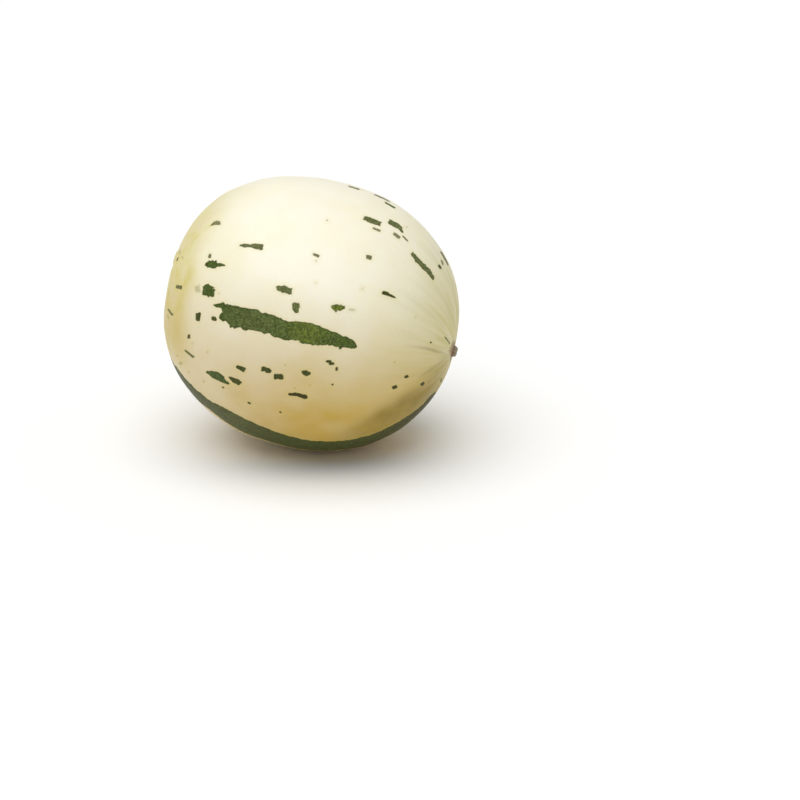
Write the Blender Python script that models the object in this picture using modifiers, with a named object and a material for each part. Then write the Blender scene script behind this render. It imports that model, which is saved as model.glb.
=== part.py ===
"""A whole white melon lying on its side, with the dried stub of its stalk.

The fruit is a sphere whose points are moved by a formula: a full ellipsoid, deeper below its stem line
than above it, with broad swellings, furrows that fan out from the stalk, the dish that the stalk sits
in and a round scar at the blossom end.

Its own axes have +X along the stem line towards the stalk, and +Z up. A place on it is named by two
angles. "away" is counted from the stalk, 0 there and 180 degrees at the blossom end. "turn" goes round
the stem line, 0 along the top and 90 degrees on the side that faces -Y.
"""

import math
import random

import bmesh
import bpy
from mathutils import Matrix, Vector

# Driving dimensions, in metres
HALF_LENGTH = 0.0874
HALF_WIDTH = 0.0808
HALF_DEPTH_ABOVE = 0.0763
HALF_DEPTH_BELOW = 0.0852
FLAT_SPOT_DEPTH = 0.0012
DISH_RADIUS = 0.0058
DISH_DEPTH = 0.0013
SCAR_RADIUS = 0.0036
SCAR_HEIGHT = 0.00035
SCAR_GROOVE = 0.0058
SCAR_GROOVE_WIDTH = 0.0018
STUB_HEIGHT = 0.0036
STUB_RADIUS = 0.0031
FLOOR_GAP = 0.00035

# How the stem line lies: the stalk end is the lower one
LEAN = math.radians(14.2)

# 2 would be a plain ellipsoid, and more is fuller towards its ends
FULLNESS = 2.217
# The share by which the stalk end is slimmer than the middle, and the blossom end fuller
TAPER = 0.018

# Broad swellings of the flesh: away, turn and spread in degrees, and height in metres
SWELLINGS = [
    (148, 151, 18, 0.0010),
    (11, 178, 18, 0.0011),
    (77, -24, 22, 0.0010),
    (157, -14, 18, 0.0006),
]

# Where the flower sat, a little off the stem line: away and turn in degrees
SCAR_PLACE = (168, 50)

# Furrows, evenly spaced round the stem line but for a little play
FURROWS = 16
FIRST_FURROW = 72
FURROW_PLAY = 4
FURROW_SPREAD = 4.4
FURROW_DEPTHS = (0.0005, 0.0012)
FURROW_PEAKS = (13, 19)
FURROW_FADE = 1.6
FURROW_SEED = 9

# The mesh: sides round the stem line, rings along it, and how far the rings crowd towards the ends
SIDES = 96
RINGS = 54
CROWDING = 0.62
# Points closer than this to the flat spot's plane are put on it
SNAP = 0.00012

# The stub: sides round it, flutes in its bark, their depth and how far its crown droops
STUB_SIDES = 30
FLUTES = 10
FLUTE_DEPTH = 0.00022
STUB_DROOP = 0.0004
MERGE = 0.00001

# Colour, roughness
RIND_LOOK = ((0.89, 0.84, 0.65, 1.0), 0.42)
STUB_LOOK = ((0.30, 0.25, 0.17, 1.0), 0.85)


def clear_scene():
    """An empty scene."""
    for old in list(bpy.data.objects):
        bpy.data.objects.remove(old, do_unlink=True)


def collection(name):
    """A new collection in the scene."""
    made = bpy.data.collections.new(name)
    bpy.context.scene.collection.children.link(made)
    return made


def material(name, look):
    """A plain Principled material."""
    colour, roughness = look
    made = bpy.data.materials.new(name)
    made.use_nodes = True
    shader = made.node_tree.nodes["Principled BSDF"]
    shader.inputs["Base Color"].default_value = colour
    shader.inputs["Roughness"].default_value = roughness
    shader.inputs["Metallic"].default_value = 0.0
    return made


def direction(away, turn):
    """The unit vector at two angles in radians."""
    ring = math.sin(away)
    return Vector((math.cos(away), -ring * math.sin(turn), ring * math.cos(turn)))


def angles(unit):
    """A unit vector's angles away and turn, in radians."""
    away = math.acos(max(-1.0, min(1.0, unit.x)))
    return away, math.atan2(-unit.y, unit.z)


def bump(distance, width):
    """1 in the middle, falling smoothly to 0 past the width."""
    return math.exp(-((distance / width) ** 2))


def furrow_rules():
    """Each furrow's turn, depth and the angle from the stalk at which it is deepest."""
    draw = random.Random(FURROW_SEED)
    places = []
    for number in range(FURROWS):
        places.append(FIRST_FURROW + number * 360 / FURROWS + draw.uniform(-FURROW_PLAY, FURROW_PLAY))
    rules = []
    for place in places:
        depth = draw.uniform(*FURROW_DEPTHS)
        peak = draw.uniform(*FURROW_PEAKS)
        rules.append((math.radians(place), depth, math.radians(peak)))
    return rules


def swell_and_fade(angle, peak):
    """0 at the pole, 1 at the peak, and fading out beyond it."""
    share = angle / peak
    return (share * math.exp(1 - share)) ** FURROW_FADE


def furrows(away, turn, rules):
    """How far the furrows lower the skin."""
    lowered = 0.0
    for place, depth, peak in rules:
        aside = math.degrees(math.remainder(turn - place, 2 * math.pi))
        lowered += depth * swell_and_fade(away, peak) * bump(aside, FURROW_SPREAD)
    return lowered


def stem_dish(away):
    """How far the dish under the stalk lowers the skin."""
    out = HALF_LENGTH * away / DISH_RADIUS
    return DISH_DEPTH / (1 + out**8)


def blossom_scar(unit):
    """How far the scar at the blossom end stands out, with a groove round it."""
    out = HALF_LENGTH * unit.angle(direction(*map(math.radians, SCAR_PLACE)))
    raised = SCAR_HEIGHT / (1 + (out / SCAR_RADIUS) ** 8)
    return raised - SCAR_HEIGHT * bump(out - SCAR_GROOVE, SCAR_GROOVE_WIDTH)


def skin(away, turn, rules):
    """The point of the skin in a direction."""
    unit = direction(away, turn)
    half_depth = HALF_DEPTH_ABOVE if unit.z > 0 else HALF_DEPTH_BELOW
    across = math.hypot(unit.y / HALF_WIDTH, unit.z / half_depth)
    along = abs(unit.x) / HALF_LENGTH
    point = unit * (along**FULLNESS + across**FULLNESS) ** (-1 / FULLNESS)
    slimmer = 1 - TAPER * point.x / HALF_LENGTH
    point.y *= slimmer
    point.z *= slimmer
    relief = blossom_scar(unit) - stem_dish(away) - furrows(away, turn, rules)
    for centre_away, centre_turn, spread, height in SWELLINGS:
        centre = direction(math.radians(centre_away), math.radians(centre_turn))
        relief += height * bump(math.degrees(unit.angle(centre)), spread)
    return point + unit * relief


def crowd(away):
    """Rings moved closer together towards both ends."""
    return away - CROWDING * math.sin(2 * away) / 2


def lay_flat(bm):
    """The underside cut off level, where the fruit rests. Returns the height of the centre above it."""
    leaning = Matrix.Rotation(LEAN, 3, "Y")
    lowest = min((leaning @ vertex.co).z for vertex in bm.verts)
    height = -lowest - FLAT_SPOT_DEPTH
    down = leaning.inverted() @ Vector((0, 0, -1))
    bmesh.ops.bisect_plane(
        bm,
        geom=bm.verts[:] + bm.edges[:] + bm.faces[:],
        dist=SNAP,
        plane_co=down * height,
        plane_no=down,
        use_snap_center=True,
        clear_outer=True,
    )
    rim = [edge for edge in bm.edges if edge.is_boundary]
    bmesh.ops.contextual_create(bm, geom=rim)
    return height


def build_fruit(parts, stem_line):
    """The fruit, one solid. Returns the point in the middle of its dish."""
    rules = furrow_rules()
    bm = bmesh.new()
    along_x = Matrix.Rotation(math.radians(90), 4, "Y")
    bmesh.ops.create_uvsphere(bm, u_segments=SIDES, v_segments=RINGS, radius=1, matrix=along_x)
    for vertex in bm.verts:
        away, turn = angles(vertex.co.normalized())
        vertex.co = skin(crowd(away), turn, rules)
    stem_line.location.z = lay_flat(bm)
    bmesh.ops.recalc_face_normals(bm, faces=bm.faces[:])
    mesh = bpy.data.meshes.new("melon")
    bm.to_mesh(mesh)
    bm.free()
    mesh.shade_smooth()
    mesh.set_sharp_from_angle(angle=math.radians(50))
    mesh.materials.append(material("rind", RIND_LOOK))
    fruit = bpy.data.objects.new("melon", mesh)
    fruit.parent = stem_line
    parts.objects.link(fruit)
    return skin(0, 0, rules)


def stub_profile():
    """Radius and height of the stub from the middle of its crown, down its side, to its foot."""
    return [
        (0.0, STUB_HEIGHT * 0.86),
        (STUB_RADIUS * 0.45, STUB_HEIGHT * 0.90),
        (STUB_RADIUS * 0.80, STUB_HEIGHT),
        (STUB_RADIUS, STUB_HEIGHT * 0.90),
        (STUB_RADIUS * 0.98, STUB_HEIGHT * 0.72),
        (STUB_RADIUS * 0.84, STUB_HEIGHT * 0.48),
        (STUB_RADIUS * 0.88, STUB_HEIGHT * 0.24),
        (STUB_RADIUS * 1.06, STUB_HEIGHT * 0.06),
        (STUB_RADIUS * 0.98, 0.0),
        (0.0, 0.0),
    ]


def turned(name, profile, sides):
    """A mesh turned about Z from its profile."""
    bm = bmesh.new()
    points = [bm.verts.new((radius, 0, height)) for radius, height in profile]
    for one, two in zip(points, points[1:]):
        bm.edges.new((one, two))
    mesh = bpy.data.meshes.new(name + "_profile")
    bm.to_mesh(mesh)
    bm.free()
    guide = bpy.data.objects.new(name + "_profile", mesh)
    bpy.context.scene.collection.objects.link(guide)
    screw = guide.modifiers.new("turn", "SCREW")
    screw.steps = sides
    screw.render_steps = sides
    screw.use_merge_vertices = True
    screw.merge_threshold = MERGE
    evaluated = guide.evaluated_get(bpy.context.evaluated_depsgraph_get())
    made = bpy.data.meshes.new_from_object(evaluated)
    made.name = name
    bpy.data.objects.remove(guide, do_unlink=True)
    return made


def build_stub(parts, stem_line, dish_floor):
    """The dried stub of the stalk, fluted, standing in the dish."""
    mesh = turned("stem_stub", stub_profile(), STUB_SIDES)
    for vertex in mesh.vertices:
        x, y, z = vertex.co
        radius = math.hypot(x, y)
        flute = 0.5 - 0.5 * math.cos(FLUTES * math.atan2(y, x))
        share = 1 - FLUTE_DEPTH * flute * (radius / STUB_RADIUS) / max(radius, MERGE)
        vertex.co.x = x * share + STUB_DROOP * (z / STUB_HEIGHT) ** 2
        vertex.co.y = y * share
    mesh.shade_smooth()
    mesh.set_sharp_from_angle(angle=math.radians(50))
    mesh.materials.append(material("dry_stalk", STUB_LOOK))
    stub = bpy.data.objects.new("stem_stub", mesh)
    stub.parent = stem_line
    stub.location = dish_floor + Vector((FLOOR_GAP, 0, 0))
    stub.rotation_euler = (0, math.radians(90), 0)
    parts.objects.link(stub)


def centre_on_origin(parts, stem_line):
    """The whole moved so that the middle of its footprint is over the origin."""
    bpy.context.view_layer.update()
    corners = []
    for piece in parts.objects:
        if piece.type == "MESH":
            corners += [piece.matrix_world @ vertex.co for vertex in piece.data.vertices]
    for axis in (0, 1):
        places = [corner[axis] for corner in corners]
        stem_line.location[axis] -= (min(places) + max(places)) / 2
    bpy.context.view_layer.update()


def main():
    clear_scene()
    parts = collection("melon")
    stem_line = bpy.data.objects.new("stem_line", None)
    stem_line.empty_display_size = HALF_LENGTH
    stem_line.rotation_euler = (0, LEAN, 0)
    parts.objects.link(stem_line)
    dish_floor = build_fruit(parts, stem_line)
    build_stub(parts, stem_line, dish_floor)
    centre_on_origin(parts, stem_line)


main()
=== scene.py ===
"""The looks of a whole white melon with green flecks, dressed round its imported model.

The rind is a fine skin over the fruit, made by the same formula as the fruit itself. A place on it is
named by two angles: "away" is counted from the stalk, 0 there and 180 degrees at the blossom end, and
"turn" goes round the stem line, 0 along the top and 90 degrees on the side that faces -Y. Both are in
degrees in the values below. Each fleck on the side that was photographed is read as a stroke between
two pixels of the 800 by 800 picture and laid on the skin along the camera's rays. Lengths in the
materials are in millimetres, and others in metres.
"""

import math
import random

import bmesh
import bpy
import numpy as np
from bpy.props import FloatProperty, FloatVectorProperty, PointerProperty
from mathutils import Matrix, Vector
from mathutils.bvhtree import BVHTree


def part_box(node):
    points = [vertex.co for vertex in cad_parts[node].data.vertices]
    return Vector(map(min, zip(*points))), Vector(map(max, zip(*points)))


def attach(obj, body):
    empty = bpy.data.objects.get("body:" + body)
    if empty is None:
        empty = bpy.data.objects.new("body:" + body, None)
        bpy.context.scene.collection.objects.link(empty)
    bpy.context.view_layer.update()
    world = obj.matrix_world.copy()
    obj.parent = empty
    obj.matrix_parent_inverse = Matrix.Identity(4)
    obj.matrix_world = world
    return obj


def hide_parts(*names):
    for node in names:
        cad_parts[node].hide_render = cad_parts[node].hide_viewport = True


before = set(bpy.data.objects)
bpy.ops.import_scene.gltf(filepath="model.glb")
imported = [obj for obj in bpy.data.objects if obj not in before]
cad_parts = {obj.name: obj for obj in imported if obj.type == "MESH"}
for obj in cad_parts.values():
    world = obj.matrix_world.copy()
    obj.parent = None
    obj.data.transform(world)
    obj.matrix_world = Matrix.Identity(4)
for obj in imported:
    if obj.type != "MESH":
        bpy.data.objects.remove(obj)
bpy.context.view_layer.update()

bl_info = {
    "name": "White melon with green flecks",
    "version": (1, 0, 0),
    "blender": (4, 5, 0),
    "location": "View3D > Sidebar > Melon",
    "description": "Builds the rind, the dried stalk and a plain studio for a whole white melon",
    "category": "Object",
}

# The fruit's driving sizes, as in its model. Swellings are away, turn, spread and height.
HALF_LENGTH = 0.0874
HALF_WIDTH = 0.0808
HALF_DEPTH_ABOVE = 0.0763
HALF_DEPTH_BELOW = 0.0852
DISH_RADIUS = 0.0058
DISH_DEPTH = 0.0013
SCAR_RADIUS = 0.0036
SCAR_HEIGHT = 0.00035
SCAR_GROOVE = 0.0058
SCAR_GROOVE_WIDTH = 0.0018
EDGE_STEEPNESS = 8
LEAN = math.radians(14.2)
FULLNESS = 2.217
TAPER = 0.018
SWELLINGS = [(148, 151, 18, 0.001), (11, 178, 18, 0.0011), (77, -24, 22, 0.001), (157, -14, 18, 0.0006)]
SCAR_PLACE = (168, 50)
FURROWS = 16
FIRST_FURROW = 72
FURROW_PLAY = 4
FURROW_SPREAD = 4.4
FURROW_DEPTHS = (0.0005, 0.0012)
FURROW_PEAKS = (13, 19)
FURROW_FADE = 1.6
FURROW_SEED = 9

# The fine skin: sides round the stem line, rings along it, how far the rings crowd towards the ends
SIDES = 384
RINGS = 240
CROWDING = 0.55
# The crease in each furrow: its spread in degrees, its depth, how far it wanders, and how often it bends
CREASE_SPREAD = 1.6
CREASE_DEPTH = 0.00008
WANDER = 1.6
CREASE_BENDS = (7, 9)
# The painted shade in each furrow, a darker colour laid in its bottom: its spread in degrees, how much
# further from the stalk than the furrow it is deepest, how fast it fades and how strong it is
SHADE_SPREAD = 1.7
SHADE_FURTHER = 1.75
SHADE_FADE = 12.0
SHADE_STRENGTH = 0.12
# The turn and spread in which the furrows are deepest, how much of their depth they keep elsewhere, and
# how much faster they fade than in the model
DEEP_SIDE = (81, 23)
SOFTER = 0.35
FADE_FASTER = 2.0
# Broad unevenness of the skin: waves, their lengths and their height, in metres
WAVES = 14
WAVE_LENGTHS = (0.016, 0.045)
WAVE_HEIGHT = 0.00005
WAVE_SEED = 4

# The photograph's camera: picture side and lens in pixels, its tilt and turn, and the pixel of the
# fruit's middle. One pixel is PIXEL metres at the fruit.
PICTURE = 800
LENS = 3172
TILT = math.radians(21.4)
TURN = math.radians(10)
MIDDLE = (313.2, 308.5)
PIXEL = 0.0006
SENSOR = 36
CAMERA_REACH = (0.05, 60)
MM = 1000
# The direction from which the soft light comes
LIGHT_DIRECTION = (-0.10, -0.22, 1.0)
FLOOR_SIDES = 96

# Kinds of fleck: how dark below 0 or bright above it, how mild, how brown, and how strong
GREEN = (0.0, 0.0, 0.0, 1.0)
GREY = (-0.1, 0.6, 0.5, 0.9)
MILD = (0.0, 0.8, 0.1, 1.0)
BRIGHT = (1.0, 0.0, 0.0, 1.0)
PALE = (0.3, 0.7, 0.3, 0.85)
DRAB = (0.2, 0.0, 0.6, 1.0)
OLIVE = (0.5, 0.2, 0.5, 0.9)
DEEP = (-0.05, 0.0, 0.5, 1.0)
BROWN = (-0.4, 0.0, 1.0, 0.95)
SOOTY = (-1.0, 0.0, 0.9, 1.0)
FAINT = (0.2, 0.0, 1.0, 0.3)

# Flecks on the photographed side, as strokes: x and y of the start and of the end in pixels, width at both
# in millimetres, kind. Strokes that overlap make one fleck.
FLECKS = [
    # near the blossom end, above the long streak
    (210.2, 226, 214.8, 222.9, 0.5, 1.7, OLIVE), (213.8, 223.3, 220.3, 222.6, 1.5, 2.2, PALE),
    (239.2, 245.2, 245, 245.8, 0.8, 2, MILD), (244, 245.7, 251, 245.6, 2.1, 1.4, MILD),
    (250, 245.8, 256, 246.2, 1.4, 2.9, MILD), (255, 246.3, 262.7, 247, 2.8, 3.2, MILD),
    (210.2, 253.8, 209.4, 257.8, 1.1, 1.9, OLIVE), (204.8, 265.3, 208, 264.2, 0.7, 3.3, DEEP),
    (207.4, 264, 216.2, 264.7, 3.9, 4.4, GREEN), (215.6, 265, 224.8, 265, 3, 0.5, GREEN),
    (175.8, 286.7, 181.9, 287.6, 1.9, 2.3, OLIVE), (204.9, 285, 208.8, 291, 3.4, 7.4, GREEN),
    (209.6, 288.4, 207.9, 295.7, 7.2, 7.1, GREEN), (167.6, 308.6, 172.4, 315.3, 0.8, 1.2, OLIVE),
    (167.3, 314.9, 168.7, 318.4, 0.7, 0.7, FAINT), (198.2, 312.8, 198, 317.4, 3.1, 2.8, DEEP),
    (198, 317, 197.6, 321, 2.7, 2.4, DEEP), (211.6, 319.2, 214.2, 317.6, 1.6, 3.2, DRAB),
    (213.4, 317.6, 216.4, 320.8, 2.6, 1.6, DRAB),
    # the middle, above the long streak
    (276.8, 287.8, 284, 289, 2.2, 4.3, MILD), (283, 288.7, 291.6, 291.6, 4.4, 2.8, MILD),
    (296, 302.8, 296.1, 308.4, 3.6, 4.6, MILD), (295.6, 307.6, 296.4, 312.8, 4, 2.5, MILD),
    (313, 253.8, 319.2, 256.6, 1.2, 1.8, OLIVE), (315.6, 260.4, 316.6, 261, 0.8, 0.8, DEEP),
    (326.6, 220, 327.6, 220.6, 0.8, 0.8, DEEP), (331.4, 307.2, 336.6, 307.7, 1.9, 4.3, BRIGHT),
    (335.6, 307.7, 345.2, 307.6, 4.3, 1.1, BRIGHT),
    # the upper right
    (349, 186.2, 359.2, 189.2, 0.7, 0.9, PALE), (375, 194.4, 389.4, 201.2, 0.7, 0.6, GREY),
    (385.4, 202.4, 395, 208, 0.8, 0.9, GREEN), (364.2, 217.9, 372.8, 220.9, 2.2, 2.8, MILD),
    (371.8, 220.5, 380.4, 224, 2.8, 2.5, MILD), (389.2, 221.3, 395.8, 224.9, 2.5, 3, MILD),
    (394.8, 224.3, 401.6, 228.8, 3, 2.2, MILD), (400, 228.4, 403, 233, 1.8, 0.6, MILD),
    (372.6, 228, 380.5, 231.1, 1.3, 1.1, PALE), (393.7, 233, 399.7, 238.1, 1.7, 1.9, PALE),
    (402.6, 235.7, 407.9, 241.4, 0.8, 0.8, MILD), (406.5, 226.8, 407.3, 227.3, 0.6, 0.6, OLIVE),
    (366.4, 256.8, 371.8, 257.8, 2, 2.4, OLIVE), (411.9, 253, 417.5, 260.3, 1.9, 2.4, MILD),
    (416.5, 259.5, 425.5, 268, 2.4, 2.6, MILD), (424.5, 267, 430, 273, 2.4, 2.2, MILD),
    (429, 271.6, 433.6, 279.3, 2.3, 1.6, MILD), (441.2, 251.6, 448.3, 264.6, 0.9, 0.9, GREY),
    (441.4, 260.2, 443.1, 264.7, 0.8, 0.8, OLIVE), (438.8, 265, 441.1, 268.8, 1.4, 1.4, DEEP),
    (382, 292.6, 388.6, 294, 2.2, 2.2, DEEP), (387.6, 294.4, 395.8, 297.8, 1.6, 0.9, DEEP),
    # under the long streak
    (188.9, 334.6, 188.7, 338.4, 1.4, 1.8, BROWN), (184.4, 350, 193.8, 357.4, 1, 1.4, OLIVE),
    (206, 371.8, 215.6, 375, 0.7, 4.6, GREEN), (214.6, 374.6, 222.6, 379.2, 4.7, 3.4, GREEN),
    (221.4, 378.8, 230, 385.2, 3, 0.6, GREEN), (229, 377.2, 234, 380.2, 1.2, 2.9, DEEP),
    (233.2, 379.8, 240.6, 383.8, 2.9, 2.2, DEEP), (221.9, 386.7, 224.1, 388.1, 1.1, 1.1, BROWN),
    (236, 366.8, 241.4, 368.4, 1.6, 2.5, DEEP), (240.4, 368.2, 244.8, 370.4, 2.4, 3.2, DEEP),
    (261.4, 368.8, 266.4, 369.8, 2.5, 3, DEEP), (265.6, 369.6, 271.2, 371.6, 3, 1.9, DEEP),
    (273.8, 376.2, 279, 377, 3.1, 3, DEEP), (278, 377, 283.6, 376.4, 3, 3.8, DEEP),
    (301.8, 371.6, 306.2, 373.4, 1.1, 3.6, DEEP), (305.4, 373.4, 310.6, 373.8, 3.7, 1.4, DEEP),
    (288.4, 394.1, 297, 394.4, 1.4, 1.9, SOOTY), (296.4, 394.5, 302.4, 395.9, 1.8, 2.1, SOOTY),
    (301.4, 395.6, 305.4, 397, 2.1, 2.9, SOOTY), (304.8, 396.8, 307.6, 397.4, 2.8, 1.7, SOOTY),
    (325.9, 361.4, 331.6, 361.8, 1.4, 1.7, DRAB), (328.6, 364, 334.2, 363.4, 1.4, 1.6, DRAB),
    (337.3, 366.9, 336.2, 370.9, 1.5, 1.5, BROWN), (331.2, 384.8, 333.8, 384.4, 1.2, 1.2, BROWN),
    (430.2, 343, 431.6, 341.8, 1.3, 1.3, SOOTY), (394, 362.4, 394.8, 362.2, 0.9, 0.9, BROWN),
    (404.6, 377.6, 408.5, 375.8, 1.6, 1.6, SOOTY), (420.7, 385.2, 424.1, 383, 1.7, 1.7, SOOTY),
    (392.4, 388.1, 396.9, 386.5, 1.8, 1.8, SOOTY), (440.4, 381.6, 442.2, 378.2, 0.8, 0.8, OLIVE),
    (445.2, 337, 450.1, 344.3, 0.6, 0.6, DEEP),
    # brown ticks round the blossom end
    (177.9, 257.6, 176.7, 260.8, 0.7, 0.7, BROWN), (180.4, 250.6, 179, 254, 1.2, 1.2, FAINT),
    (182.2, 256.4, 182.8, 258.4, 0.8, 0.8, FAINT),
    # faint marks
    (177, 355, 178.4, 356.2, 1, 1, FAINT), (179.4, 362.4, 181.6, 364, 1.8, 1.8, FAINT),
    (207, 351.8, 208.2, 352.2, 1.3, 1.3, FAINT), (191.8, 343.6, 192.8, 344, 0.9, 0.9, FAINT),
    (188, 371.8, 189, 372.4, 1.1, 1.1, FAINT), (203.2, 380.8, 204.2, 382, 1.3, 1.3, FAINT),
    (195.2, 289.2, 199.8, 288.6, 3.2, 3.8, FAINT), (218.2, 293.2, 219.2, 293.4, 0.8, 0.8, FAINT),
    (362, 288.4, 362.8, 288.6, 0.9, 0.9, FAINT), (315.6, 282.6, 316.4, 283, 0.9, 0.9, FAINT),
    (415.2, 317, 416, 317.4, 0.9, 0.9, FAINT), (348.6, 309.6, 355, 310.1, 1.3, 0.9, FAINT),
    (284.7, 365, 286, 365.3, 0.9, 0.9, FAINT), (309.3, 385.4, 310.7, 385.7, 0.9, 0.9, FAINT),
    (294.3, 388.2, 295.7, 388.6, 0.9, 0.9, FAINT),
]

# The long streak's two edges, as pixels from its blunt end to its tip
STREAK_TOP = [
    (222, 303.3), (227.4, 304.1), (235.2, 305.7), (244.6, 308), (252.5, 309.4), (257.6, 309.6),
    (260.3, 312.5), (265.5, 312.8), (274.9, 315.4), (280.7, 317.7), (282.8, 320), (290.5, 321.9),
    (297.3, 321.4), (305.1, 321.9), (313.5, 323.2), (318.7, 325.3), (323.9, 328.4), (330.2, 330.3),
    (336.5, 332.9), (342.8, 336.3), (348, 337.6), (353.2, 339.7), (355.8, 343.3), (357.4, 347.5),
]
STREAK_UNDER = [
    (222, 309), (222.4, 312.5), (222.4, 316.4), (223.2, 320.9), (227.9, 324), (230.5, 326.6),
    (235.2, 328.4), (241.5, 329), (245.7, 330.3), (248.3, 329.5), (253, 330.8), (258.2, 330.5),
    (262.9, 332.9), (271.8, 334.5), (274.9, 337.6), (281.2, 338.1), (287.8, 340.2), (296.7, 341.5),
    (302.5, 344.1), (311.4, 344.9), (321.8, 345.2), (331.3, 346), (336.5, 346), (340.1, 348.6),
    (348, 349.4), (355.8, 349.9), (357.6, 348.1),
]
# Where its blunt end splits into a horn above and a lobe below
STREAK_END = [
    (213.4, 305.3, 225, 306.1, 0.9, 3.9, GREEN), (220.2, 315.6, 225.6, 317.6, 3.2, 5.6, GREEN),
]
STREAK_GLOW = (306, 331)
STREAK_GLOW_SPREAD = 0.013
STREAK_TOP_RAGGED = 0.5
# Where the long streak has a painted grey sheen, a greyer green laid on it, as away, and how far that
# spreads
STREAK_GREY_SHEEN = (106, 13)
# Painted shade on the streak round the belly, browned and darkened where it faces down: how brown it is,
# how much browner towards the stalk, how far that reaches, and between which shares of facing down it sets
# in
UNDERSIDE_PAINTED_SHADE = (0.4, 0.4)
UNDERSIDE_SHADE_REACH = 40
UNDERSIDE_SHADE_SIDE = (0.7, 0.9)
# How ragged the edges of the other streaks are
HIDDEN_RAGGED = 0.8
# The yellow end: where it starts and how softly, its share, how much more it has on one side, and which
YELLOW_FROM = (143, 5)
YELLOW_SHARE = 0.92
YELLOW_PLAY = 0.2
YELLOW_SIDE = 70
# How far the olive end reaches, the turn that faces down, how the belly's tan rises towards it, and where it
# is paler and by how much. The belly's tan is partly the ground spot's own colour and partly painted shade
# on the underside.
OLIVE_REACH = 42
DOWNWARDS = 150
BELLY_SIDE = (-0.06, 0.84)
BELLY_CURVE = 1.3
BELLY_PALER_FROM = (104, 10)
BELLY_PALER = 0.45
# How far a stroke reaches above and below the skin, in metres
STROKE_REACH = 0.006
# How much of its edge's wandering a stroke has: a share of its size, less a margin, and the least
EDGE_ROOM = (0.6, 0.25, 0.12)
# How round its corners are, in millimetres: a share of its size and a fixed part
CORNERS = (0.2, 1.35)
# Yellow patches of the skin: pixel, spread in millimetres and strength
YELLOW_PATCHES = [
    ((222, 208), 12, 0.15), ((206, 226), 12, 0.28), ((194, 244), 11, 0.32), ((189, 261), 11, 0.34),
    ((188, 277), 9, 0.5), ((181, 294), 11, 0.4), ((176.5, 311), 12, 0.42), ((176, 328), 12, 0.42),
    ((174, 345), 11, 0.4), ((183, 362), 10, 0.18), ((222, 262), 20, 0.12), ((205, 300), 16, 0.12),
    ((398, 342), 20, 0.16), ((350, 396), 18, 0.16),
]
# Painted shade near the stalk, as lines through pixels: x, y, half-width in pixels and strength. The first
# two darken two folds, and the last is a broad band of painted shade on the lower side towards the stalk.
PAINTED_SHADE_LINES = [
    [(406, 346, 1.6, 0.05), (417, 346.9, 1.7, 0.25), (428, 348.7, 1.7, 0.75), (437, 351.6, 1.5, 0.7),
     (445.6, 353.4, 1.2, 0.3)],
    [(417, 378.8, 2, 0.15), (424, 374.6, 2, 0.5), (430, 370.6, 2, 0.7), (436, 366, 1.8, 0.7),
     (443, 360.6, 1.5, 0.6), (448, 356.5, 1.3, 0.4)],
    [(325, 442, 7, 0), (350, 436, 9, 0.45), (370, 427, 11, 0.8), (386, 417, 12, 1), (405, 407, 12, 1.1),
     (425, 395, 12, 1.15), (434, 387, 12, 1), (441, 376, 11, 0.65), (447, 362, 8, 0.4)],
]
# How softly they end at the picture's rim of the fruit, as a share of its radius
PAINTED_SHADE_FADE = 0.5
# Lines along the fruit: their fineness round it and along it
LINES = 12.0
LINES_ALONG = 1.6

# The streak round the belly: its upper edge as pixels where it shows at the lower rims, the hidden rest of
# that edge, and its other edge, both as away and turn
BELLY_EDGE = [
    (436.4, 391), (431, 395), (426.6, 399.8), (423, 404), (217, 404.3), (212.2, 402), (207, 397.8),
    (201.5, 394), (197, 390), (192, 385.3), (186, 378.8), (180, 371.5), (176, 365.5),
]
BELLY_EDGE_HIDDEN = [
    (16.5, 153), (18, 146), (33, 136.5), (42, 136), (55, 137.5), (70, 137), (85, 135), (100, 132),
    (110, 131), (139, 140), (142, 142.5), (145, 146.5), (147.5, 150),
]
BELLY_FAR_EDGE = [
    (16.5, 158), (18, 166), (20, 171), (25, 172), (29, 168), (33, 165), (42, 160), (55, 156), (70, 153),
    (85, 152), (100, 150), (110, 147), (118, 146), (124, 150), (128, 153), (131, 157), (134, 162),
    (136.5, 165), (141, 166), (144, 163), (147.5, 157),
]
# Hidden streaks on the far side, behind the top and low on the far side: away and the turns of both edges
HIDDEN_STREAKS = [
    [(48, -97, -95), (54, -101, -94), (66, -104, -92), (80, -107, -93), (92, -106, -95.6),
     (104, -105, -93), (113, -102, -94), (119, -99, -97)],
    [(88, -53, -51), (95, -56, -50), (106, -58, -50), (118, -58.5, -49.5), (127, -59, -53),
     (132, -58, -56)],
    [(30, -141, -139), (38, -147, -135), (50, -148.5, -137.5), (60, -145.6, -138.4), (66, -143, -141)],
]

# Cork round the stalk: its reach in millimetres, and the turn, spread and length of its tongue
CORK_REACH = 6.8
CORK_TONGUE = (60, 28, 9.5)

# Rows of flecks where the picture doesn't reach: turn, first and last away
HIDDEN_ROWS = [
    (-34, 44, 84), (-47, 24, 78), (-66, 36, 128), (-80, 30, 120), (-112, 34, 140), (-124, 60, 150),
    (-156, 26, 140), (-172, 50, 120), (166, 30, 110), (119, 84, 104),
]
ROW_STEP = (7, 17)
ROW_PLAY = 3.2
ROW_SEED = 21
# The share of large flecks in them, and the lengths, widths and kinds of large and of small ones
LARGE_SHARE = 0.45
LARGE = ((5, 14), (2.4, 5.4), (GREEN, GREEN, DEEP, OLIVE))
SMALL = ((1.5, 4.5), (1.2, 2.6), (OLIVE, DEEP, BROWN))
LARGE_TAPERS = (1.0, 0.9, 0.45, 0.2)
SMALL_TAPER = 0.9
# How far a large fleck's companion lies beside it and along it, and its share of the length
COMPANION = ((1.2, 2.4), (-2.0, 2.0), 0.5)
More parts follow.
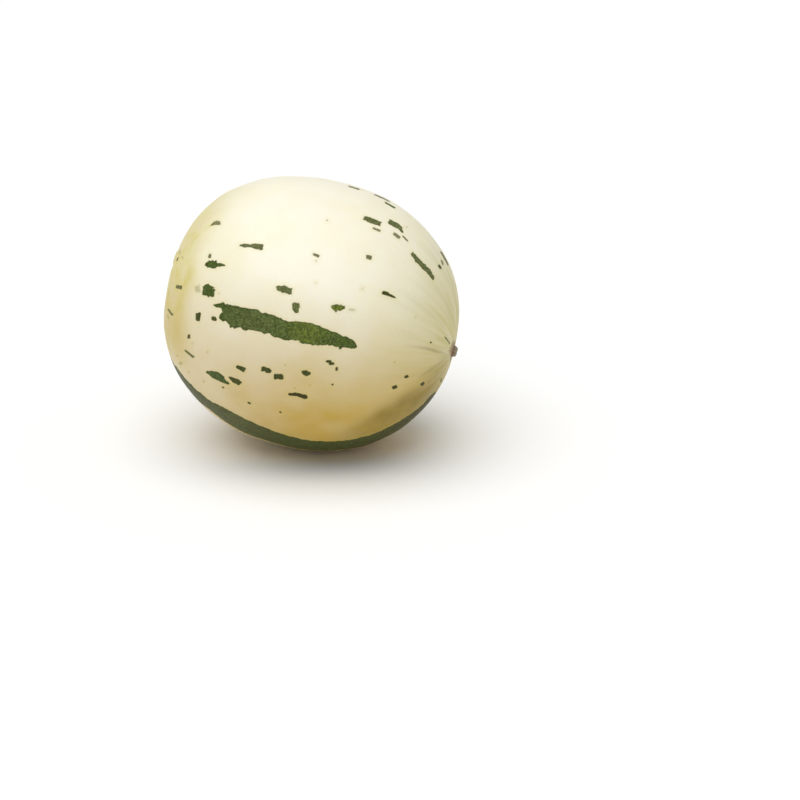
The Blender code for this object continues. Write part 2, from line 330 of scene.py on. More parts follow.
# Specks between them: how near the ends they come, as a cosine, their turns, widths and stretch
SPECKS = 60
SPECK_SEED = 33
SPECK_ENDS = 0.92
SPECK_TURNS = (150, 330)
SPECK_WIDTHS = (0.7, 1.7)
SPECK_STRETCH = (0.6, 1.4)


def srgb(red, green, blue):
    """A colour read from a screen, 0 to 255, as scene light."""
    shares = [value / 255 for value in (red, green, blue)]
    light = [((share + 0.055) / 1.055) ** 2.4 if share > 0.04045 else share / 12.92 for share in shares]
    return (*light, 1.0)


def colour(name, description, red, green, blue):
    """A colour that a user would change."""
    light = srgb(red, green, blue)
    limits = {"size": 4, "min": 0.0, "max": 1.0}
    return FloatVectorProperty(name=name, description=description, default=light, subtype="COLOR", **limits)


def amount(name, description, default, low=0.0, high=1.0, **kind):
    """A number that a user would change."""
    return FloatProperty(name=name, description=description, default=default, min=low, max=high, **kind)


class MELON_PG_rind(bpy.types.PropertyGroup):
    """Colours and sizes of the rind."""

    cream: colour("Cream", "Most of the skin", 249, 245, 226)
    warm: colour("Warm cream", "Clouds in the cream", 247, 241, 214)
    yellow: colour("Yellow", "Flush round the blossom end", 212, 197, 88)
    blush: colour("Blush", "Pinkish beige between the yellow and olive patches", 224, 202, 158)
    olive: colour("Olive", "Skin towards the stalk", 196, 185, 112)
    # Partly the ground spot's own colour, partly painted shade on the underside
    tan: colour("Tan", "Skin towards the belly", 193, 157, 38)
    scar: colour("Scar", "Corky skin round the stalk", 152, 124, 98)
    # Painted shade: darkens the furrow bottoms and the folds and broad band near the stalk
    shade: colour("Furrow", "Bottom of the furrows", 137, 116, 38)
    green: colour("Fleck", "Most of a fleck", 80, 100, 34)
    dark: colour("Fleck edge", "Darker edge and cells of a fleck", 50, 60, 12)
    bright: colour("Fleck glow", "Yellow green of the brighter flecks", 122, 134, 44)
    # Also laid over the long streak as a painted grey sheen
    mild: colour("Mild fleck", "Greyer green of the flecks above", 124, 128, 78)
    dusty: colour("Fleck bloom", "Pale speckles in a fleck", 130, 146, 96)
    brown: colour("Speck", "Brown of the smallest flecks", 66, 50, 4)
    ragged: amount("Ragged edge", "How far the flecks' edges wander, in millimetres", 0.58, high=3.0)
    roughness: amount("Roughness", "Roughness of the waxy skin", 0.44, subtype="FACTOR")


class MELON_PG_stalk(bpy.types.PropertyGroup):
    """Colours and sizes of the dried stub of the stalk."""

    bark: colour("Bark", "Corky foot of the stub", 156, 128, 100)
    pith: colour("Pith", "Dry crown of the stub", 158, 152, 128)
    crack: colour("Crack", "Bottom of flutes and cracks", 74, 60, 42)
    height: amount("Height", "From the floor of the dish to the crown", 0.0035, 0.001, 0.01, unit="LENGTH")
    radius: amount("Radius", "Half the width of the crown", 0.0033, 0.001, 0.01, unit="LENGTH")


class MELON_PG_stage(bpy.types.PropertyGroup):
    """The plain studio."""

    floor: colour("Floor", "The pale floor", 250, 250, 249)
    floor_size: amount("Floor size", "Radius of the floor", 14.0, 1.0, 100.0, unit="LENGTH")
    sky: amount("Sky", "Strength of the even white light from all round", 0.46, high=10.0)
    key: amount("Key light", "Strength of the soft light overhead", 2.0, high=100.0)
    softness: amount("Softness", "How wide that light is", math.radians(70), high=math.pi, subtype="ANGLE")


class Value:
    """An output of a node. Sums and products of it, with numbers or with others, add Math nodes."""

    def __init__(self, paint, socket):
        self.paint = paint
        self.socket = socket

    def math(self, operation, *others, clamp=False):
        settings = {"operation": operation, "use_clamp": clamp}
        inputs = dict(enumerate([self, *others]))
        return self.paint.node("ShaderNodeMath", settings, inputs)["Value"]

    def __add__(self, other):
        return self.math("ADD", other)

    def __sub__(self, other):
        return self.math("SUBTRACT", other)

    def __mul__(self, other):
        return self.math("MULTIPLY", other)

    def __truediv__(self, other):
        return self.math("DIVIDE", other)

    def __rsub__(self, other):
        return (self * -1).math("ADD", other)

    def __abs__(self):
        return self.math("ABSOLUTE")

    __radd__ = __add__
    __rmul__ = __mul__

    def least(self, other):
        return self.math("MINIMUM", other)

    def most(self, other):
        return self.math("MAXIMUM", other)

    def clamped(self):
        """Held between 0 and 1."""
        return self.math("ADD", 0.0, clamp=True)

    def rise(self, low, high):
        """0 up to low, 1 from high on, and even between them."""
        return ((self - low) * (1 / (high - low))).clamped()


class Paint:
    """The nodes of one material."""

    def __init__(self, name):
        self.material = bpy.data.materials.new(name)
        self.material.use_nodes = True
        self.tree = self.material.node_tree
        self.shader = self.tree.nodes["Principled BSDF"]

    def node(self, kind, settings=None, inputs=None):
        """Adds a node: its settings first, then the values or links of its sockets. Gives its outputs."""
        made = self.tree.nodes.new(kind)
        for key, value in (settings or {}).items():
            setattr(made, key, value)
        for key, value in (inputs or {}).items():
            self.feed(made.inputs[key], value)
        return {out.name: Value(self, out) for out in made.outputs if out.enabled}

    def feed(self, socket, value):
        """Links a value to a socket, or sets the socket to a number or colour."""
        if isinstance(value, Value):
            self.tree.links.new(value.socket, socket)
        else:
            socket.default_value = value

    def set(self, **inputs):
        """Feeds the shader's own sockets, named with _ for a space."""
        for key, value in inputs.items():
            self.feed(self.shader.inputs[key.replace("_", " ")], value)

    def vector(self, name):
        """A named attribute."""
        return self.node("ShaderNodeAttribute", {"attribute_name": name})["Vector"]

    def parts(self, vector):
        """The three parts of a vector."""
        parts = self.node("ShaderNodeSeparateXYZ", None, {"Vector": vector})
        return parts["X"], parts["Y"], parts["Z"]

    def attribute(self, name):
        """The three parts of a named attribute."""
        return self.parts(self.vector(name))

    def place(self):
        """The place on the object, in millimetres."""
        where = self.node("ShaderNodeTexCoord")["Object"]
        settings = {"operation": "SCALE"}
        return self.node("ShaderNodeVectorMath", settings, {"Vector": where, "Scale": float(MM)})["Vector"]

    def noise(self, where, size, detail=2, roughness=0.5, out="Fac"):
        """Smooth noise whose lumps are about size millimetres."""
        inputs = {"Vector": where, "Scale": 1 / size, "Detail": detail, "Roughness": roughness}
        return self.node("ShaderNodeTexNoise", None, inputs)[out]

    def cells(self, where, size):
        """The distance to the middle of the nearest of cells about size millimetres across."""
        return self.node("ShaderNodeTexVoronoi", None, {"Vector": where, "Scale": 1 / size})["Distance"]

    def mix(self, share, one, two, blend="MIX"):
        """One colour turning into another as the share goes from 0 to 1."""
        settings = {"data_type": "RGBA", "blend_type": blend, "clamp_factor": True}
        return self.node("ShaderNodeMix", settings, {0: share, 6: one, 7: two})["Result"]

    def layered(self, base, *layers):
        """A colour with others laid over it in turn, each by its share."""
        for share, over, *blend in layers:
            base = self.mix(share, base, over, *blend)
        return base

    def relief(self, height):
        """Feeds a height in millimetres to the shader as bumps."""
        inputs = {"Height": height, "Distance": 1 / MM, "Strength": 1.0}
        self.set(Normal=self.node("ShaderNodeBump", None, inputs)["Normal"])


def directions(away, turn):
    """Unit vectors at two angles in radians."""
    ring = np.sin(away)
    return np.stack([np.cos(away), -ring * np.sin(turn), ring * np.cos(turn)], axis=-1)


def angles(units):
    """The angles away and turn of unit vectors, in radians."""
    return np.arccos(np.clip(units[..., 0], -1, 1)), np.arctan2(-units[..., 1], units[..., 2])


def bump(distance, width):
    """1 in the middle, falling smoothly to 0 past the width."""
    return np.exp(-((distance / width) ** 2))


def between(value, low, high):
    """0 up to low, 1 from high on, and even between them."""
    return np.clip((value - low) / (high - low), 0, 1)


def within(distance, reach, steepness):
    """1 well inside a reach, 0 well past it."""
    return 1 / (1 + (distance / reach) ** steepness)


def rising(value, start, softness):
    """0 well below a start, 1 well above it."""
    return 1 / (1 + np.exp((start - value) / softness))


def facing(turn, side):
    """1 where a turn in degrees is that of a side, and -1 across the fruit from it."""
    return np.cos(np.radians(turn - side))


def spread_from(units, place):
    """The angle between unit vectors and a place given in degrees, in radians."""
    centre = directions(*map(math.radians, place))
    return np.arccos(np.clip(units @ centre, -1, 1))


def furrow_rules():
    """Each furrow's turn, its depth and the angle from the stalk at which it is deepest, in degrees."""
    draw = random.Random(FURROW_SEED)
    turns = FIRST_FURROW + 360 / FURROWS * np.arange(FURROWS)
    turns = [turn + draw.uniform(-FURROW_PLAY, FURROW_PLAY) for turn in turns]
    return [(turn, draw.uniform(*FURROW_DEPTHS), draw.uniform(*FURROW_PEAKS)) for turn in turns]


def around(turn, centre):
    """How far a turn lies from another in degrees, the short way round."""
    return np.remainder(turn - centre + 180, 360) - 180


def furrow_depth(away, turn):
    """How far the furrows and their creases lower the skin, and how much painted shade their bottoms get."""
    lowered = np.zeros_like(away)
    shaded = np.zeros_like(away)
    for place, depth, peak in furrow_rules():
        aside = around(np.degrees(turn), place)
        side = bump(around(place, DEEP_SIDE[0]), DEEP_SIDE[1])
        bends = np.sin(CREASE_BENDS[0] * away + CREASE_BENDS[1] * math.radians(place))
        path = aside + WANDER * bends * np.sin(away)
        share = away / math.radians(peak)
        fading = (share * np.exp(1 - share)) ** (FURROW_FADE * FADE_FASTER)
        crease = CREASE_DEPTH * bump(path, CREASE_SPREAD)
        groove = depth * (SOFTER + (1 - SOFTER) * side)
        lowered += fading * (groove * bump(aside, FURROW_SPREAD) + crease)
        # Painted shade in the furrow's bottom, deepest further from the stalk
        share /= SHADE_FURTHER
        fading = (share * np.exp(1 - share)) ** SHADE_FADE
        shaded = np.maximum(shaded, SHADE_STRENGTH * fading * bump(path, SHADE_SPREAD))
    return lowered, shaded


def unevenness(points):
    """Broad soft waves over the skin."""
    draw = random.Random(WAVE_SEED)
    height = np.zeros(len(points))
    for _ in range(WAVES):
        heading = Vector([draw.gauss(0, 1) for _ in range(3)]).normalized()
        length = draw.uniform(*WAVE_LENGTHS)
        phase = draw.uniform(0, 2 * math.pi)
        height += WAVE_HEIGHT * np.sin(points @ np.array(heading) * 2 * math.pi / length + phase)
    return height


def skin(away, turn):
    """Points of the fine skin in the fruit's own axes, and the painted shade of its furrows."""
    units = directions(away, turn)
    half_depth = np.where(units[:, 2] > 0, HALF_DEPTH_ABOVE, HALF_DEPTH_BELOW)
    across = np.hypot(units[:, 1] / HALF_WIDTH, units[:, 2] / half_depth)
    along = np.abs(units[:, 0]) / HALF_LENGTH
    points = units * ((along**FULLNESS + across**FULLNESS) ** (-1 / FULLNESS))[:, None]
    slimmer = 1 - TAPER * points[:, 0] / HALF_LENGTH
    points[:, 1:] *= slimmer[:, None]
    lowered, shaded = furrow_depth(away, turn)
    relief = unevenness(points) - lowered
    relief -= DISH_DEPTH * within(HALF_LENGTH * away, DISH_RADIUS, EDGE_STEEPNESS)
    out = HALF_LENGTH * spread_from(units, SCAR_PLACE)
    relief += SCAR_HEIGHT * within(out, SCAR_RADIUS, EDGE_STEEPNESS)
    relief -= SCAR_HEIGHT * bump(out - SCAR_GROOVE, SCAR_GROOVE_WIDTH)
    for centre_away, centre_turn, spread, height in SWELLINGS:
        turned = np.degrees(spread_from(units, (centre_away, centre_turn)))
        relief += height * bump(turned, spread)
    return points + units * relief[:, None], shaded


def lean():
    """The turn from the fruit's own axes to the frame's."""
    return np.array(Matrix.Rotation(LEAN, 3, "Y"))


def fruit_middle(points):
    """Where the middle of the fruit's axes lies, so that the skin's box fills the node's box."""
    low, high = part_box("melon")
    middle = Vector((0, 0, high[2] - points[:, 2].max()))
    for axis in (0, 1):
        middle[axis] = (low[axis] + high[axis] - points[:, axis].min() - points[:, axis].max()) / 2
    return middle


def read(rows, name, columns=1, kind=np.float32):
    """A property of a mesh's points, faces or corners, as one long array."""
    values = np.empty(len(rows) * columns, dtype=kind)
    rows.foreach_get(name, values)
    return values


def read_points(mesh):
    """A mesh's points as an array."""
    return read(mesh.vertices, "co", 3).reshape(-1, 3).astype(float)


def write_attribute(mesh, name, domain, *columns):
    """Keeps three numbers for each point or face corner."""
    made = mesh.attributes.new(name, "FLOAT_VECTOR", domain)
    made.data.foreach_set("vector", np.stack(columns, axis=1).astype(np.float32).ravel())


def round_mesh(name, points, sides):
    """A closed mesh of a first pole, rings of points counted by their sides, and a last pole."""
    last = len(points) - 1
    beside = [(side, (side + 1) % sides) for side in range(sides)]
    faces = [(0, 1 + one, 1 + two) for one, two in beside]
    for start in range(1, last - sides, sides):
        below = start + sides
        faces += [(start + one, below + one, below + two, start + two) for one, two in beside]
    faces += [(last - sides + one, last, last - sides + two) for one, two in beside]
    mesh = bpy.data.meshes.new(name)
    mesh.from_pydata(points.tolist(), [], faces)
    return mesh


def link(name, mesh, material):
    """A new object in the scene, shaded smooth."""
    mesh.shade_smooth()
    mesh.materials.append(material)
    made = bpy.data.objects.new(name, mesh)
    bpy.context.scene.collection.objects.link(made)
    return made


def photo_camera(middle):
    """The photograph's camera: where it stands, and its right, up and forward directions."""
    turned = Matrix.Rotation(TURN, 3, "Z") @ Matrix.Rotation(math.pi / 2 - TILT, 3, "X")
    right, up, back = (turned.col[axis].copy() for axis in range(3))
    ray = -back * LENS + right * (MIDDLE[0] - PICTURE / 2) + up * (PICTURE / 2 - MIDDLE[1])
    return middle - ray.normalized() * LENS * PIXEL, right, up, -back


def painted_shade_of_lines(points, middle):
    """How much painted shade the folds and the broad band near the stalk get, read as lines of pixels."""
    eye, right, up, forward = (np.array(part) for part in photo_camera(middle))
    rays = points - eye
    rays /= (rays @ forward)[:, None]
    pixels = PICTURE / 2 + LENS * np.stack([rays @ right, -(rays @ up)], axis=1)
    outward = points - np.array(middle)
    forwards = -(outward @ forward) / np.linalg.norm(outward, axis=1)
    seen = between(forwards, -PAINTED_SHADE_FADE / 2, PAINTED_SHADE_FADE / 2)
    shaded = np.zeros(len(points))
    for fold in PAINTED_SHADE_LINES:
        for start, end in zip(fold, fold[1:]):
            corner, along = np.array(start[:2]), np.subtract(end[:2], start[:2])
            share = np.clip((pixels - corner) @ along / (along @ along), 0, 1)
            out = np.linalg.norm(pixels - corner - share[:, None] * along, axis=1)
            width = start[2] + (end[2] - start[2]) * share
            strength = start[3] + (end[3] - start[3]) * share
            shaded = np.maximum(shaded, seen * strength * np.exp(-((out / width) ** 3)))
    return shaded


class Caster:
    """Lays pixels of the photograph on the skin."""

    def __init__(self, rind):
        points = read_points(rind.data)
        middle = Vector(rind["fruit_middle"])
        self.middle = middle
        self.tree = BVHTree.FromPolygons(points.tolist(), [tuple(f.vertices) for f in rind.data.polygons])
        self.eye, self.right, self.up, self.forward = photo_camera(middle)

    def __call__(self, pixel):
        ray = self.forward * LENS + self.right * (pixel[0] - PICTURE / 2)
        ray += self.up * (PICTURE / 2 - pixel[1])
        ray.normalize()
        hit = self.tree.ray_cast(self.eye, ray)[0]
        if hit is None:
            beside = self.eye + ray * (self.middle - self.eye).dot(ray)
            hit = self.tree.find_nearest(beside)[0]
        return hit

    def at(self, away, turn):
        """The skin at two angles in degrees."""
        unit = lean() @ directions(math.radians(away), math.radians(turn))
        return self.tree.ray_cast(self.middle, Vector(unit))[0]

    def bearings(self, pixels):
        """The angles away and turn of pixels, in degrees."""
        own = np.array([(self(pixel) - self.middle).normalized() for pixel in pixels]) @ lean()
        return list(zip(*np.degrees(angles(own))))


def stroke_from_pixels(caster, start_x, start_y, end_x, end_y, start_width, end_width, kind):
    """A stroke read from the picture: its middle, its two directions on the skin, its sizes and kind."""
    start, end = Vector((start_x, start_y)), Vector((end_x, end_y))
    aside = (end - start).orthogonal().normalized() / (PIXEL * MM) / 2
    widest = max(start_width, end_width)
    middle_pixel = (start + end) / 2
    along = caster(end) - caster(start)
    across = caster(middle_pixel + aside * widest) - caster(middle_pixel - aside * widest)
    half_width = across.length / 2
    sizes = (along.length / 2, half_width * start_width / widest, half_width * end_width / widest)
    return caster(middle_pixel), along.normalized(), across.normalized(), sizes, kind


def stroke_on_row(caster, away, turn, length, start_width, end_width, kind):
    """A stroke along a line of one turn, given in degrees and millimetres."""
    reach = math.degrees(length / MM / HALF_LENGTH / 2)
    along = caster.at(away + reach, turn) - caster.at(away - reach, turn)
    middle = caster.at(away, turn)
    across = along.cross(middle - caster.middle)
    sizes = (along.length / 2, start_width / MM / 2, end_width / MM / 2)
    return middle, along.normalized(), across.normalized(), sizes, kind


def hidden_strokes(caster):
    """Flecks where the picture doesn't reach: blocky ones in rows, and specks between them."""
    draw = random.Random(ROW_SEED)
    strokes = []
    for turn, first, last in HIDDEN_ROWS:
        away = first + draw.uniform(0, ROW_STEP[0])
        while away < last:
            large = draw.random() < LARGE_SHARE
            lengths, widths, kinds = LARGE if large else SMALL
            length = draw.uniform(*lengths)
            width = draw.uniform(*widths)
            taper = draw.choice(LARGE_TAPERS) if large else SMALL_TAPER
            kind = draw.choice(kinds)
            beside = turn + draw.uniform(-ROW_PLAY, ROW_PLAY)
            ends = (width, width * taper) if draw.random() < 0.5 else (width * taper, width)
            strokes.append(stroke_on_row(caster, away, beside, length, *ends, kind))
            if large and draw.random() < 0.5:
                across, along, share = COMPANION
                aside = beside + draw.uniform(*across) * draw.choice((-1, 1))
                further = away + draw.uniform(*along)
                strokes.append(stroke_on_row(caster, further, aside, length * share, *ends, kind))
            away += draw.uniform(*ROW_STEP)
    draw = random.Random(SPECK_SEED)
    for _ in range(SPECKS):
        away = math.degrees(math.acos(draw.uniform(-SPECK_ENDS, SPECK_ENDS)))
        turn = draw.uniform(*SPECK_TURNS)
        width = draw.uniform(*SPECK_WIDTHS)
        kind = draw.choice((BROWN, FAINT, FAINT))
        length = width * draw.uniform(*SPECK_STRETCH)
        strokes.append(stroke_on_row(caster, away, turn, length, width, width, kind))
    return strokes


def write_strokes(mesh, strokes):
    """Gives each face corner its place in the two strokes nearest its face, with their sizes and kinds."""
    points = read_points(mesh)
    centres = read(mesh.polygons, "center", 3).reshape(-1, 3)
    counts = read(mesh.polygons, "loop_total", kind=np.int32)
    corners = read(mesh.loops, "vertex_index", kind=np.int32)
    middles, sizes, kinds = (np.array([stroke[part] for stroke in strokes]) for part in (0, 3, 4))
    bases = []
    outs = np.empty((len(strokes), len(centres)), dtype=np.float32)
    for number, (middle, along, across, (half_length, start, end), _) in enumerate(strokes):
        axes = np.stack([along, across, along.cross(across).normalized()], axis=1)
        bases.append(np.linalg.inv(axes))
        own = np.abs((centres - np.array(middle)) @ bases[-1].T)
        sides = np.maximum(own[:, 0] - half_length, own[:, 1] - max(start, end))
        outs[number] = np.maximum(sides, own[:, 2] - STROKE_REACH)
    bases = np.array(bases)
    for order in ("near", "next"):
        chosen = outs.argmin(axis=0)
        outs[chosen, np.arange(len(chosen))] = np.inf
        stroke = np.repeat(chosen, counts)
        local = np.einsum("nij,nj->ni", bases[stroke], points[corners] - middles[stroke]) * MM
        write_attribute(mesh, f"{order}_place", "CORNER", *local[:, :2].T, kinds[stroke, 3])
        write_attribute(mesh, f"{order}_size", "CORNER", *sizes[stroke].T * MM)
        write_attribute(mesh, f"{order}_kind", "CORNER", *kinds[stroke, :3].T)


def streak_inside(away, turn, low, high):
    """How far inside a streak each point lies, in millimetres, and whether its high edge is the nearer."""
    degree = MM * HALF_LENGTH * math.pi / 180
    ring = degree * np.sin(np.radians(away))
    low, high = sorted(low), sorted(high)
    first, last = max(low[0][0], high[0][0]), min(low[-1][0], high[-1][0])
    one = np.interp(away, *zip(*low))
    two = np.interp(away, *zip(*high))
    aside = around(turn, (one + two) / 2)
    inside = ((two - one) / 2 - np.abs(aside)) * ring
    return np.minimum(inside, np.minimum(away - first, last - away) * degree), aside > 0


def write_streaks(mesh, caster):
    """Gives each point its depth inside the nearest streak, its ragged edge, its painted underside shade,
    and the glow, the painted grey sheen and the yellow patches.
    """
    points = read_points(mesh) - np.array(caster.middle)
    units = (points / np.linalg.norm(points, axis=1)[:, None]) @ lean()
    away, turn = (np.degrees(angle) for angle in angles(units))

    def patch(pixel, spread):
        return bump(np.linalg.norm(points - np.array(caster(pixel) - caster.middle), axis=1), spread)

    inside, under = streak_inside(away, turn, caster.bearings(STREAK_TOP), caster.bearings(STREAK_UNDER))
    ragged = np.where(under, 1.0, STREAK_TOP_RAGGED)
    edges = [(caster.bearings(BELLY_EDGE) + BELLY_EDGE_HIDDEN, BELLY_FAR_EDGE)]
    edges += [[[(row[0], row[side]) for row in stations] for side in (1, 2)] for stations in HIDDEN_STREAKS]
    for low, high in edges:
        other, _ = streak_inside(away, turn, low, high)
        ragged = np.where(other > inside, HIDDEN_RAGGED, ragged)
        inside = np.maximum(inside, other)
    # Painted shade: the streak round the belly is browned and darkened where it faces down
    underside_shade = UNDERSIDE_PAINTED_SHADE[0] + UNDERSIDE_PAINTED_SHADE[1] * within(away, UNDERSIDE_SHADE_REACH, 6)
    underside_shade *= between(facing(turn, DOWNWARDS), *UNDERSIDE_SHADE_SIDE)
    write_attribute(mesh, "streak", "POINT", inside, ragged, underside_shade)
    glow = patch(STREAK_GLOW, STREAK_GLOW_SPREAD)
    # A painted grey sheen along part of the long streak
    bloom = bump(away - STREAK_GREY_SHEEN[0], STREAK_GREY_SHEEN[1])
    plain = np.ones(len(points))
    for pixel, spread, strength in YELLOW_PATCHES:
        plain *= 1 - strength * patch(pixel, spread / MM)
    write_attribute(mesh, "streak_look", "POINT", glow, bloom, 1 - plain)


def write_zones(mesh, away, turn, shaded):
    """Gives each point its share of the colour zones, its painted furrow shade and its nearness to the ends.
    """
    ring = np.sin(away)
    write_attribute(mesh, "lines", "POINT", np.cos(turn) * LINES, np.sin(turn) * LINES, away * LINES_ALONG)
    stalk = MM * HALF_LENGTH * away
    blossom = MM * HALF_LENGTH * spread_from(directions(away, turn), SCAR_PLACE)
    away, turn = np.degrees(away), np.degrees(turn)
    yellow = rising(away, *YELLOW_FROM) * (YELLOW_SHARE + YELLOW_PLAY * facing(turn, YELLOW_SIDE) * ring)
    olive = within(away, OLIVE_REACH, 4)
    # The belly zone: the ground spot's tan, partly painted shade on the side that faces down
    belly = between(facing(turn, DOWNWARDS), *BELLY_SIDE) ** BELLY_CURVE * between(ring, 0, 0.5)
    belly *= 1 - BELLY_PALER * rising(away, *BELLY_PALER_FROM)
    write_attribute(mesh, "zones", "POINT", yellow, olive, belly)
    centre, spread, length = CORK_TONGUE
    reach = CORK_REACH + length * bump(around(turn, centre), spread)
    write_attribute(mesh, "marks", "POINT", shaded, stalk / reach, blossom)


def beyond_stroke(paint, order, wander):
    """How far outside a stroke each place is, in millimetres, and how strong its colour is."""
    along, aside, strength = paint.attribute(f"{order}_place")
    half_length, start, end = paint.attribute(f"{order}_size")
    least = start.most(end).least(half_length)
    share, margin, smallest = EDGE_ROOM
    room = (least * share - margin).clamped().most(smallest)
    along = along + wander[0] * room
    aside = aside + wander[1] * room
    half = start + (end - start) * (along / half_length * 0.5 + 0.5).clamped()
    rounding = least * CORNERS[0] + CORNERS[1]
    out = (abs(along) - half_length).math("SMOOTH_MAX", abs(aside) - half, rounding)
    return out + (wander[2] - 0.25) * room, strength


def rind_material(look):
    """Waxy cream skin with its colour zones, the belly's tan partly painted shade, painted furrow shade,
    corky ends, streaks with a painted grey sheen and painted underside shade, and flecks.
    """
    paint = Paint("melon_rind")
    where = paint.place()
    yellow, olive, belly = paint.attribute("zones")
    painted_shade, stalk, blossom = paint.attribute("marks")
    glow, bloom, flush = paint.attribute("streak_look")
    broad = paint.noise(where, 26)
    patches = paint.noise(where, 9)
    fine = paint.noise(where, 1.1, 3, 0.65)
    lines = paint.noise(paint.vector("lines"), 1, 3, 0.6)

    flushed = yellow * (patches.rise(0.25, 0.75) * 0.5 + 0.5)
    cork = (1 - (stalk + (patches - 0.5) * 0.7).rise(0.8, 1.15)) * 0.85
    speckled = (1 - (blossom + (patches - 0.5) * 9).rise(3, 13)) * fine.rise(0.54, 0.66) * 0.45
    rough_end = cork.most(speckled)
    skin_colour = paint.layered(
        look.cream,
        (broad.rise(0.42, 0.78), look.warm),
        (flushed.most(flush * (patches * 0.8 + 0.7)), look.yellow),
        (yellow * (0.5 - patches).rise(0, 0.2) * 0.6, look.blush),
        (olive * (lines.rise(0.3, 0.7) * 0.4 + 0.6), look.olive),
        (olive * (0.5 - lines).rise(0, 0.2) * 0.3, look.blush),
        # Tan towards the belly: the ground spot, partly painted shade on the underside
        (belly * (broad.rise(0.1, 0.8) * 0.3 + 0.7), look.tan),
        # Painted shade in the furrow bottoms and in the folds and band near the stalk
        (painted_shade * (patches * 0.5 + 0.45), look.shade),
        (fine.rise(0.5, 0.85) * 0.1, look.olive, "MULTIPLY"),
        (rough_end, look.scar),
    )

    lumps = paint.parts(paint.noise(where, 2.3, 2, 0.6, "Color"))
    grains = paint.parts(paint.noise(where, 0.8, 2, 0.6, "Color"))
    scallops = (paint.cells(where, 2.4) - 0.5) * look.ragged
    lobes = (paint.cells(where, 4.4) - 0.5) * look.ragged
    wander = [((lump - 0.5) * 2.8 + (grain - 0.5) * 1.1) * look.ragged for lump, grain in zip(lumps, grains)]
    near, near_strength = beyond_stroke(paint, "near", [*wander[:2], wander[2] + scallops])
    further, further_strength = beyond_stroke(paint, "next", [*wander[:2], wander[2] + scallops])
    nearer = near.math("LESS_THAN", further)
    kind = paint.mix(nearer, paint.vector("next_kind"), paint.vector("near_kind"))
    strength = further_strength + (near_strength - further_strength) * nearer
    out = near.math("SMOOTH_MIN", further, 0.8)

    inside, ragged, underside_shade = paint.attribute("streak")
    out_streak = (wander[2] + scallops * 2 + lobes * 3) * ragged - inside
    is_streak = out_streak.math("LESS_THAN", out)
    tone, mild, brown = (part * (1 - is_streak) for part in paint.parts(kind))
    out = out.least(out_streak)
    strength = strength.most(is_streak)
    mask = (0.5 - out * (strength * 1.9 + 0.5)).clamped() * strength

    cells = paint.cells(where, 1.2)
    mottle = paint.noise(where, 2.2, 3, 0.7)
    blotches = paint.noise(where, 6)
    dots = paint.noise(where, 0.75, 1)
    bright = tone.clamped().most(glow * is_streak * 0.75)
    fleck_colour = paint.layered(
        look.green,
        (bright, look.bright),
        # Greyer green for the mild flecks, and as a painted grey sheen on the long streak
        (mild.most(bloom * is_streak * 0.42), look.mild),
        (cells.rise(0.3, 0.8) * 0.6, look.dark),
        (mottle.rise(0.44, 0.6) * (0.55 - mild * 0.35), look.dark),
        (blotches.rise(0.52, 0.72) * is_streak * 0.4, look.dark),
        (dots.rise(0.55, 0.68) * (is_streak * 0.15 + 0.3), look.dusty),
        ((tone * -0.8).clamped(), look.dark),
        # Brown specks, and painted shade browning the streak where it faces down
        ((brown + underside_shade * is_streak) * 0.85, look.brown),
        ((out + 1.1).clamped() * (0.65 - bright * 0.35 - mild * 0.35), look.dark),
    )
    halo = (1 - out / 2.2).clamped() * 0.2
    base = paint.layered(skin_colour, (halo, look.yellow), (mask, fleck_colour))

    roughness = fine * 0.12 + (look.roughness - 0.06) + rough_end * 0.35 + mask * 0.08
    pores = paint.noise(where, 0.45, 2, 0.6) * 0.02 + fine * 0.03 + patches * 0.05
    cork_relief = paint.noise(where, 0.7, 3, 0.7) * cork * 0.35
    paint.set(Base_Color=base, Roughness=roughness)
    paint.set(Subsurface_Weight=0.06, Subsurface_Scale=0.002, Subsurface_Radius=(1.0, 0.7, 0.35))
    paint.set(Coat_Weight=(1 - mask) * 0.06, Coat_Roughness=0.3, Specular_IOR_Level=0.22)
    paint.relief(pores + cork_relief - mask * 0.02)
    return paint.material


def build_rind(look):
    """The fine skin over the fruit, laid flat where it rests."""
    share = np.pi * np.arange(1, RINGS) / RINGS
    around_once = 2 * np.pi * np.arange(SIDES) / SIDES
    away, turn = (grid.ravel() for grid in np.meshgrid(share, around_once, indexing="ij"))
    away = np.concatenate([[0.0], away, [np.pi]])
    turn = np.concatenate([[0.0], turn, [0.0]])
    away = away - CROWDING * np.sin(2 * away) / 2
    points, shaded = skin(away, turn)
    points = points @ lean().T
    middle = fruit_middle(points)
    points += np.array(middle)
    points[:, 2] = np.maximum(points[:, 2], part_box("melon")[0][2])
    # Painted shade of the folds and of the broad band near the stalk
    shaded = np.maximum(shaded, painted_shade_of_lines(points, middle))
    mesh = round_mesh("rind", points, SIDES)
    write_zones(mesh, away, turn, shaded)
    rind = link("rind", mesh, rind_material(look))
    rind["fruit_middle"] = middle
    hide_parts("melon")
    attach(rind, "root")


class MELON_OT_rind(bpy.types.Operator):
    """Build the rind, a fine skin over the fruit"""

    bl_idname = "melon.rind"
    bl_label = "Rind"

    def execute(self, context):
        build_rind(context.scene.melon_rind)
        return {"FINISHED"}


class MELON_OT_flecks(bpy.types.Operator):
    """Lay the flecks and streaks on the rind"""

    bl_idname = "melon.flecks"
    bl_label = "Flecks"

    def execute(self, context):
        rind = context.scene.objects["rind"]
        caster = Caster(rind)
        strokes = [stroke_from_pixels(caster, *fleck) for fleck in FLECKS + STREAK_END]
        strokes += hidden_strokes(caster)
        write_strokes(rind.data, strokes)
        write_streaks(rind.data, caster)
        return {"FINISHED"}


